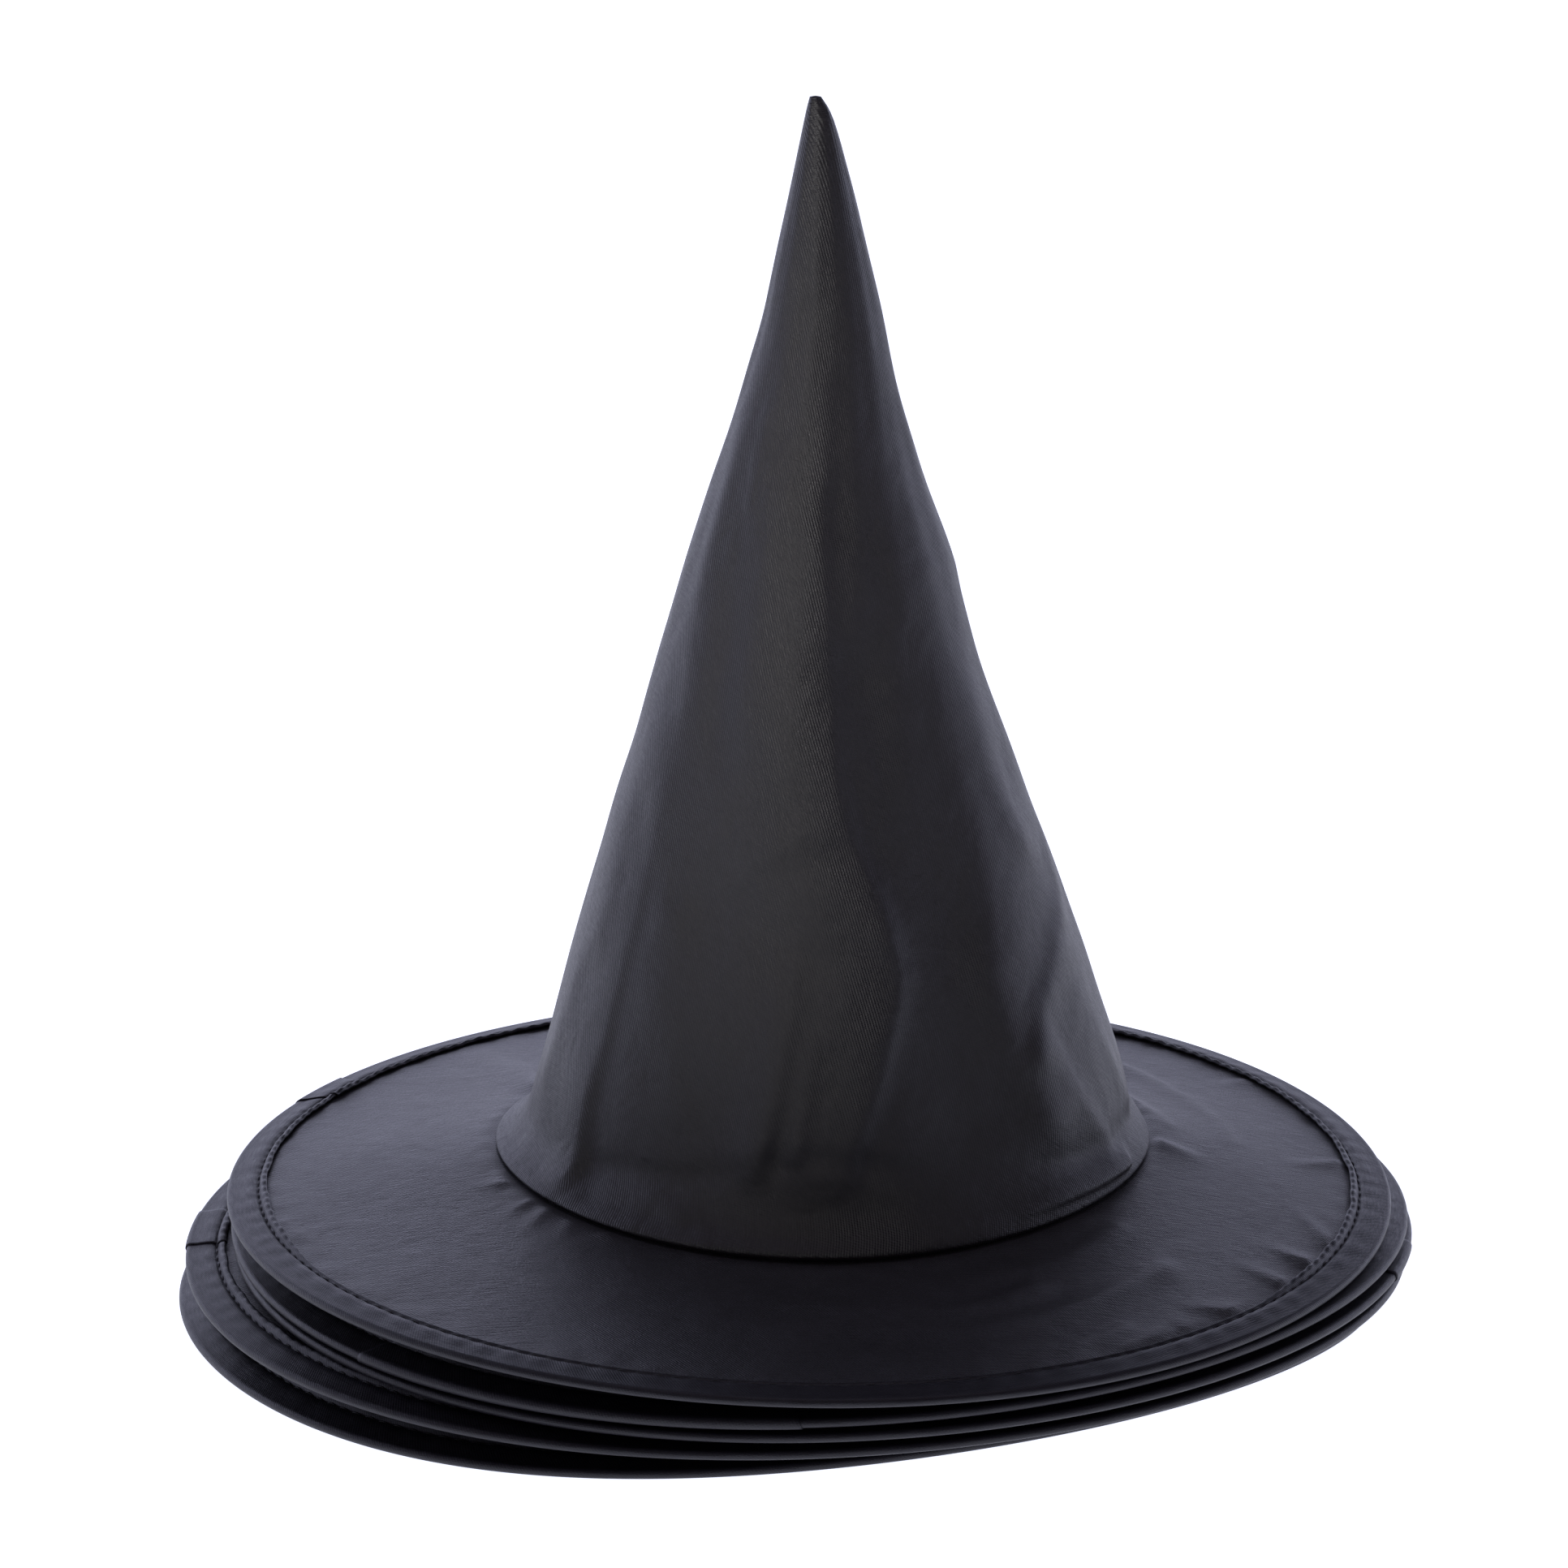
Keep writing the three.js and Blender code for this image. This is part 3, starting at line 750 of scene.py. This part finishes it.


# Painted light: the same black satin as the crown's, given lighter colours so the brim shows
# brighter.
brim_finish_painted_lighter = satin("brim_satin", (0.0070, 0.0062, 0.0078, 1), (0.0190, 0.0174, 0.0210, 1),
                    0.45, twill=0.030, slub=0.24, cockle=0.7)

for hat in hats:
    top = hat.number == 1
    folds = TOP_BRIM_FOLDS if top else scattered_folds(hat.number)
    plies = [
        # name, node, slot, finish, upper face, wall, columns, rows, share of the folds, faces up
        ("brim_satin_top", "brim_top", "brim_satin", brim_finish_painted_lighter, 0.0, BRIM_SATIN_WALL,
         480 if top else 280, 52 if top else 30, 1.0, True),
        ("interlining_ring", "brim_interlining", "nonwoven_interlining", nonwoven_finish,
         INTERLINING_TOP, INTERLINING_WALL, 200, 14, 0.45, True),
        ("brim_satin_under", "brim_underside", "brim_satin", brim_finish_painted_lighter,
         UNDERSIDE_TOP - BRIM_SATIN_WALL, BRIM_SATIN_WALL, 280, 26, 0.45, False),
    ]
    for name, node, slot, finish, face, wall, columns, rows, share, faces_up in plies:
        angles = even_columns(columns)
        radii = np.linspace(BRIM_HOLE_RADIUS, PLY_EDGE_RADIUS, rows)
        if faces_up:
            radii = radii[::-1]
        angle, radius = np.meshgrid(angles, radii)
        lift = brim_lift(hat, angle, radius, folds, share)
        places = hat.settle(angle, radius, face + lift)
        ply = sheet_mesh(f"{hat.body}_{name}", places, ring_cut(angles, radii))
        give_wall(ply, wall)
        ply.data.materials.append(finish)
        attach(ply, hat.body)
        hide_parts(f"{hat.body}_{node}")


# ---- Edge binding -------------------------------------------------------------------------
# Satin ribbon folded in half over the hoop and the brim's raw edge. Its inner hems roll up in a
# ridge, and one row of lockstitch runs beside the ridge through both halves.

TAPE_WALL = 0.35 * MM
BEAD_RADIUS = 1.4 * MM
BEAD_TURNS = 10
STITCH_RADIUS = 167.3 * MM
STITCH_COUNT = 198
RIDGE_RADIUS = 165.5 * MM
FACE_RADIUS = 170.5 * MM
FLAT_HEIGHT = 1.25 * MM     # the tape's face over the brim's middle, where it isn't rolled up
PRESSED_MIDDLE = -5     # azimuths between which the top hat's hem is pressed flat
PRESSED_HALF = 55
PRESSED_FADE = 10
PRESSED_RADIUS = 166.6 * MM
HEM_WAVER = 0.28        # mm, as are the next four: the small unevenness of a sewn ribbon
HEM_RIPPLE = 0.12
HEM_SCALLOP = 0.22
STITCH_DIP = 0.26
FACE_RIPPLE = 0.10

# The ribbon's section from its inner hem to the fold: (radius, height over the brim's middle).
TAPE_SECTION = [
    (166.4, 1.15), (165.3, 1.2), (164.75, 1.6), (164.75, 2.1), (165.25, 2.5), (165.95, 2.5),
    (166.55, 2.1), (166.95, 1.45), (167.3, 1.05), (167.7, 1.35), (168.5, 1.72), (170.2, 1.68),
    (172.2, 1.5), (173.6, 1.36),
]


def tape_section(lower_ridge):
    """The whole section, from the lower hem round the bead to the upper hem."""
    upper = np.array(TAPE_SECTION) * MM
    lower = upper.copy()
    lower[:, 1] = -(FLAT_HEIGHT + (upper[:, 1] - FLAT_HEIGHT) * lower_ridge)
    turns = np.linspace(-math.pi / 2, math.pi / 2, BEAD_TURNS)
    bead = np.stack([WIRE_RING_RADIUS + BEAD_RADIUS * np.cos(turns),
                     BEAD_RADIUS * np.sin(turns)], axis=1)
    return np.concatenate([lower, bead, upper[::-1]])


def tape_places(hat, angle, section, proud):
    """Places of the tape's face, with the small unevenness of a sewn ribbon."""
    radius = np.broadcast_to(section[:, 0][:, None], angle.shape).copy()
    height = np.broadcast_to(section[:, 1][:, None], angle.shape).copy()
    ridge = np.exp(-((radius - RIDGE_RADIUS) / (1.2 * MM)) ** 2)
    side = np.sign(height)
    if hat.number == 1:
        beyond = np.abs(azimuth_of(angle) - PRESSED_MIDDLE) - PRESSED_HALF
        pressed = 1 - np.clip(beyond / PRESSED_FADE, 0, 1)
        hem = pressed * np.clip((STITCH_RADIUS - radius) / MM, 0, 1) * (side > 0)
        height += 0.8 * hem * (FLAT_HEIGHT - height)
        radius += 0.7 * hem * (PRESSED_RADIUS - radius)
        ridge = ridge * (1 - 0.8 * pressed)
    waver = np.sin(29 * angle + 3 * np.sin(4 * angle + hat.number)) + 0.6 * np.sin(
        71 * angle + 2 * hat.number)
    radius += ridge * HEM_WAVER * MM * waver
    height += side * ridge * HEM_RIPPLE * MM * np.sin(47 * angle + hat.number)
    height += side * ridge * HEM_SCALLOP * MM * np.cos(STITCH_COUNT * angle)
    stitch_dip = np.exp(-((radius - STITCH_RADIUS) / (0.8 * MM)) ** 2)
    height -= side * stitch_dip * STITCH_DIP * MM * (1 + np.cos(STITCH_COUNT * angle)) / 2
    face = np.exp(-((radius - FACE_RADIUS) / (2.4 * MM)) ** 2)
    ripple = np.sin(STITCH_COUNT / 2 * angle + 2 * np.sin(9 * angle))
    height += side * face * FACE_RIPPLE * MM * ripple
    if proud:
        across = np.gradient(section, axis=0)
        across /= np.linalg.norm(across, axis=1)[:, None]
        radius += proud * across[:, 1][:, None]
        height -= proud * across[:, 0][:, None]
    return hat.settle(angle, radius, BRIM_MIDDLE + height)


def widths_of(section):
    """How far each point of a section lies from its first, along the ribbon."""
    return np.concatenate([[0], np.cumsum(np.linalg.norm(np.diff(section, axis=0), axis=1))])


tape_finish = satin("tape_satin", (0.0036, 0.0030, 0.0056, 1), (0.0076, 0.0064, 0.0114, 1),
                    0.48, twill=0.016, slub=0.08, cockle=0.3, lustre=0.36)

for hat in hats:
    columns = STITCH_COUNT * (5 if hat.number == 1 else 3)
    section = tape_section(lower_ridge=0.5)
    angles = even_columns(columns)
    angle = np.broadcast_to(angles[None, :], (len(section), columns))
    places = tape_places(hat, angle, section, 0)
    cut = strip_cut(angles, WIRE_RING_RADIUS, widths_of(section))
    binding = sheet_mesh(f"{hat.body}_ribbon_binding", places, cut)
    give_wall(binding, TAPE_WALL)
    binding.data.materials.append(tape_finish)
    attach(binding, hat.body)
    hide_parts(f"{hat.body}_edge_binding")


# ---- Ribbon ends --------------------------------------------------------------------------
# The binding ribbon starts and ends on every brim: the second end laps over the first, is cut
# or folded on a slant, and stands a little proud.

RIBBON_LAPS = [
    # hat, azimuths of the lap's two ends, slant of each end in degrees
    (1, -121.0, -112.5, 2.2, -1.6),
    (2, -47.0, -2.0, 1.5, -1.2),
    (3, 70.0, 79.5, -1.0, 1.4),
    (4, -96.0, -87.0, 1.0, 2.0),
    (5, 150.0, 160.0, 1.0, -1.5),
]
LAP_PROUD = 0.4 * MM
LAP_WALL = 0.33 * MM
LAP_END_DROP = 0.03 * MM
LAP_END_WIDTH = 1.8 * MM
LAP_COLUMNS_PER_DEGREE = 2.2
EDGE_MM_PER_DEGREE = 3.06


def open_sheet(name, places, flat):
    """A sheet with four free edges."""
    rows, columns = places.shape[:2]
    faces = []
    spots = []
    for row in range(rows - 1):
        for column in range(columns - 1):
            corner = row * columns + column
            faces.append((corner, corner + 1, corner + columns + 1, corner + columns))
            spots += [flat[row, column], flat[row, column + 1],
                      flat[row + 1, column + 1], flat[row + 1, column]]
    return finished_mesh(name, [tuple(p) for p in places.reshape(-1, 3)], faces, np.array(spots))


for number, start, end, start_slant, end_slant in RIBBON_LAPS:
    hat = hats[number - 1]
    section = tape_section(lower_ridge=0.5)[2:-2]
    width = widths_of(section)
    along = np.linspace(0, 1, max(int((end - start) * LAP_COLUMNS_PER_DEGREE), 24))[None, :]
    lean = (width / width[-1] * 2 - 1)[:, None]
    azimuth = (start + start_slant * lean) * (1 - along) + (end + end_slant * lean) * along
    angle = np.radians(azimuth - 90)
    from_end = np.minimum(along, 1 - along) * (end - start) * EDGE_MM_PER_DEGREE * MM
    proud = LAP_PROUD - LAP_END_DROP * np.exp(-((from_end / LAP_END_WIDTH) ** 2))
    places = tape_places(hat, angle, section, 0)
    outward = tape_places(hat, angle, section, 1 * MM) - places
    places = places + outward / MM * proud[..., None]
    cut = np.stack([angle * WIRE_RING_RADIUS, np.broadcast_to(width[:, None], angle.shape)],
                   axis=-1)
    lap = open_sheet(f"{hat.body}_ribbon_lap", places, cut)
    give_wall(lap, LAP_WALL)
    lap.data.materials.append(tape_finish)
    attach(lap, hat.body)


# ---- Lockstitch ---------------------------------------------------------------------------
# One row of black polyester thread through the tape and the brim, seen from above and below.

THREAD_RADIUS = 0.28 * MM
STITCH_SHARE = 0.70
STITCH_SIDES = 6
STITCH_RINGS = 5
THREAD_DARK = (0.0012, 0.0012, 0.0015, 1)
THREAD_LIGHT = (0.005, 0.0045, 0.006, 1)


def stitch_row(name, hat, height, side):
    """All the stitches on one face of the tape, as one mesh of small closed threads."""
    corners = []
    faces = []
    spots = []
    pitch = 2 * math.pi / STITCH_COUNT
    for count in range(STITCH_COUNT):
        middle = (count + 0.5) * pitch
        first = len(corners)
        share = np.linspace(-0.5, 0.5, STITCH_RINGS)
        angle = middle + share * pitch * STITCH_SHARE
        sway = 0.12 * MM * math.sin(count * 2.4)
        sunk = THREAD_RADIUS * (0.35 - 2.6 * np.abs(share) ** 2 * 2)
        line = hat.settle(angle, np.full(STITCH_RINGS, STITCH_RADIUS) + sway,
                          BRIM_MIDDLE + side * (height + sunk))
        sideways = np.array([math.cos(middle), math.sin(middle), 0])
        thick = THREAD_RADIUS * (1 - 0.5 * (2 * np.abs(share)) ** 4)
        for ring in range(STITCH_RINGS):
            for corner in range(STITCH_SIDES):
                turn = 2 * math.pi * corner / STITCH_SIDES
                corners.append(tuple(line[ring] + thick[ring] * (
                    math.cos(turn) * sideways + math.sin(turn) * np.array([0, 0, 1.0]))))
        for ring in range(STITCH_RINGS - 1):
            for corner in range(STITCH_SIDES):
                a = first + ring * STITCH_SIDES + corner
                b = first + ring * STITCH_SIDES + (corner + 1) % STITCH_SIDES
                faces.append((a, a + STITCH_SIDES, b + STITCH_SIDES, b))
                spots += [(0.0, ring * MM), (0.0, ring * MM + MM), (MM, ring * MM + MM),
                          (MM, ring * MM)]
        faces.append(tuple(first + corner for corner in range(STITCH_SIDES)))
        last = first + (STITCH_RINGS - 1) * STITCH_SIDES
        faces.append(tuple(last + corner for corner in reversed(range(STITCH_SIDES))))
        spots += [(0.0, 0.0)] * (2 * STITCH_SIDES)
    return finished_mesh(name, corners, faces, np.array(spots))


def twisted_thread(name):
    material, finish = new_finish(name)
    place = finish.add("ShaderNodeTexCoord", {}, {}, output="Object")
    fuzz = noise(finish, place, 4000.0, 2.0, 0.6)
    colour = finish.blend(fuzz, THREAD_DARK, THREAD_LIGHT)
    cover(finish, colour, 0.5 + 0.2 * fuzz, 0.08 * fuzz, {}, strength=0.6)
    return material


thread_finish = twisted_thread("thread")

for hat in hats:
    for face, side, height in (("upper", 1, 1.15 * MM), ("lower", -1, 1.2 * MM)):
        stitches = stitch_row(f"{hat.body}_{face}_stitches", hat, height, side)
        stitches.data.materials.append(thread_finish)
        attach(stitches, hat.body)


# ---- Hoop ---------------------------------------------------------------------------------
# A ring of 1.2 mm spring wire that lies in the fold of the binding and keeps the brim round.

WIRE_RADIUS = 0.6 * MM


def sprung_steel(name, colour, roughness):
    material, finish = new_finish(name)
    place = finish.add("ShaderNodeTexCoord", {}, {}, output="Object")
    drawn = noise(finish, place, 900.0, 4.0, 0.6)
    tint = finish.blend(drawn, colour, tuple(0.7 * part for part in colour[:3]) + (1,))
    cover(finish, tint, roughness + 0.15 * drawn, 0.02 * drawn, {"Metallic": 0.95}, strength=0.4)
    return material


steel_finish = sprung_steel("spring_steel", (0.42, 0.43, 0.45, 1), 0.28)

for hat in hats:
    bpy.ops.object.select_all(action="DESELECT")
    bpy.ops.mesh.primitive_torus_add(
        major_radius=WIRE_RING_RADIUS, minor_radius=WIRE_RADIUS, major_segments=240,
        minor_segments=10)
    hoop = bpy.context.object
    hoop.name = f"{hat.body}_hoop"
    hoop.data.name = hoop.name
    corners = np.array([vertex.co for vertex in hoop.data.vertices])
    angle = np.arctan2(corners[:, 1], corners[:, 0])
    places = hat.settle(angle, np.hypot(corners[:, 0], corners[:, 1]), BRIM_MIDDLE + corners[:, 2])
    hoop.data.vertices.foreach_set("co", places.astype(np.float32).ravel())
    hoop.data.shade_smooth()
    hoop.data.materials.append(steel_finish)
    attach(hoop, hat.body)
    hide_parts(f"{hat.body}_hoop_wire")


# ---- Hoop sleeve --------------------------------------------------------------------------
# A short steel tube over the wire's two butted ends, crimped in three places.

SLEEVE_RADIUS = 0.9 * MM
SLEEVE_LENGTH = 16 * MM
SLEEVE_ANGLE = math.radians(112.5)
SLEEVE_WALL = 0.15 * MM
CRIMPS = (-4.5 * MM, 0.0, 4.5 * MM)
CRIMP_DEPTH = 0.12
CRIMP_WIDTH = 0.9 * MM

for hat in hats:
    bpy.ops.object.select_all(action="DESELECT")
    bpy.ops.mesh.primitive_cylinder_add(
        radius=SLEEVE_RADIUS, depth=SLEEVE_LENGTH, vertices=16, end_fill_type="NOTHING")
    sleeve = bpy.context.object
    sleeve.name = f"{hat.body}_hoop_sleeve"
    sleeve.data.name = sleeve.name
    bpy.ops.object.mode_set(mode="EDIT")
    bpy.ops.mesh.select_all(action="SELECT")
    bpy.ops.mesh.subdivide(number_cuts=23)
    bpy.ops.object.mode_set(mode="OBJECT")
    corners = np.array([vertex.co for vertex in sleeve.data.vertices])
    pinch = sum(np.exp(-(((corners[:, 2] - at) / CRIMP_WIDTH) ** 2)) for at in CRIMPS)
    squeeze = 1 - CRIMP_DEPTH * pinch
    angle = SLEEVE_ANGLE + corners[:, 2] / WIRE_RING_RADIUS
    radius = WIRE_RING_RADIUS + corners[:, 0] * squeeze
    places = hat.settle(angle, radius, BRIM_MIDDLE + corners[:, 1] * squeeze)
    sleeve.data.vertices.foreach_set("co", places.astype(np.float32).ravel())
    bpy.ops.object.mode_set(mode="EDIT")
    bpy.ops.mesh.select_all(action="SELECT")
    bpy.ops.mesh.normals_make_consistent(inside=False)
    bpy.ops.object.mode_set(mode="OBJECT")
    sleeve.data.shade_smooth()
    give_wall(sleeve, SLEEVE_WALL)
    sleeve.data.materials.append(steel_finish)
    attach(sleeve, hat.body)
    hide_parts(f"{hat.body}_hoop_ferrule")


# ---- Care label ---------------------------------------------------------------------------
# A blank white satin label, folded under and caught in the head seam at the back.

LABEL_WIDTH = 0.016
LABEL_LENGTH = 0.028
LABEL_WALL = 0.3 * MM
LABEL_COLUMNS = 13
LABEL_ROWS = 22
WEAVE_PITCH = 0.5 * MM
LABEL_WHITE = (0.80, 0.79, 0.76, 1)
LABEL_HANDLED = (0.70, 0.69, 0.66, 1)


def label_cloth(name):
    material, finish = new_finish(name)
    cut = finish.add("ShaderNodeUVMap", {"uv_map": "cut"}, {})
    parts = finish.node("ShaderNodeSeparateXYZ", {}, {"Vector": cut})
    turns = 2 * math.pi / WEAVE_PITCH
    warp = Value(finish, parts.outputs["X"]) * turns
    weft = Value(finish, parts.outputs["Y"]) * turns
    weave = warp.sine() * weft.sine()
    handled = noise(finish, cut, 220.0, 4.0, 0.6)
    colour = finish.blend(handled, LABEL_WHITE, LABEL_HANDLED)
    relief = 0.03 * weave + 0.05 * handled
    cover(finish, colour, 0.5 + 0.2 * handled, relief, {}, strength=0.7)
    return material


label_finish = label_cloth("label_satin")

for hat in hats:
    low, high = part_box(f"{hat.body}_care_label")
    columns = np.linspace(0, 1, LABEL_COLUMNS)
    rows = np.linspace(0, 1, LABEL_ROWS)
    across, along = np.meshgrid(columns, rows)
    sag = -0.25 * MM * np.sin(math.pi * along) + 0.12 * MM * np.cos(2 * math.pi * across) * along
    x = high.x + (low.x - high.x) * across
    y = low.y + (high.y - low.y) * along
    z = high.z + (low.z - high.z) * along + sag
    places = np.stack([x, y, z], axis=-1)
    cut = np.stack([across * LABEL_WIDTH, along * LABEL_LENGTH], axis=-1)
    label = open_sheet(f"{hat.body}_blank_label", places, cut)
    give_wall(label, LABEL_WALL)
    label.data.materials.append(label_finish)
    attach(label, hat.body)
    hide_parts(f"{hat.body}_care_label")
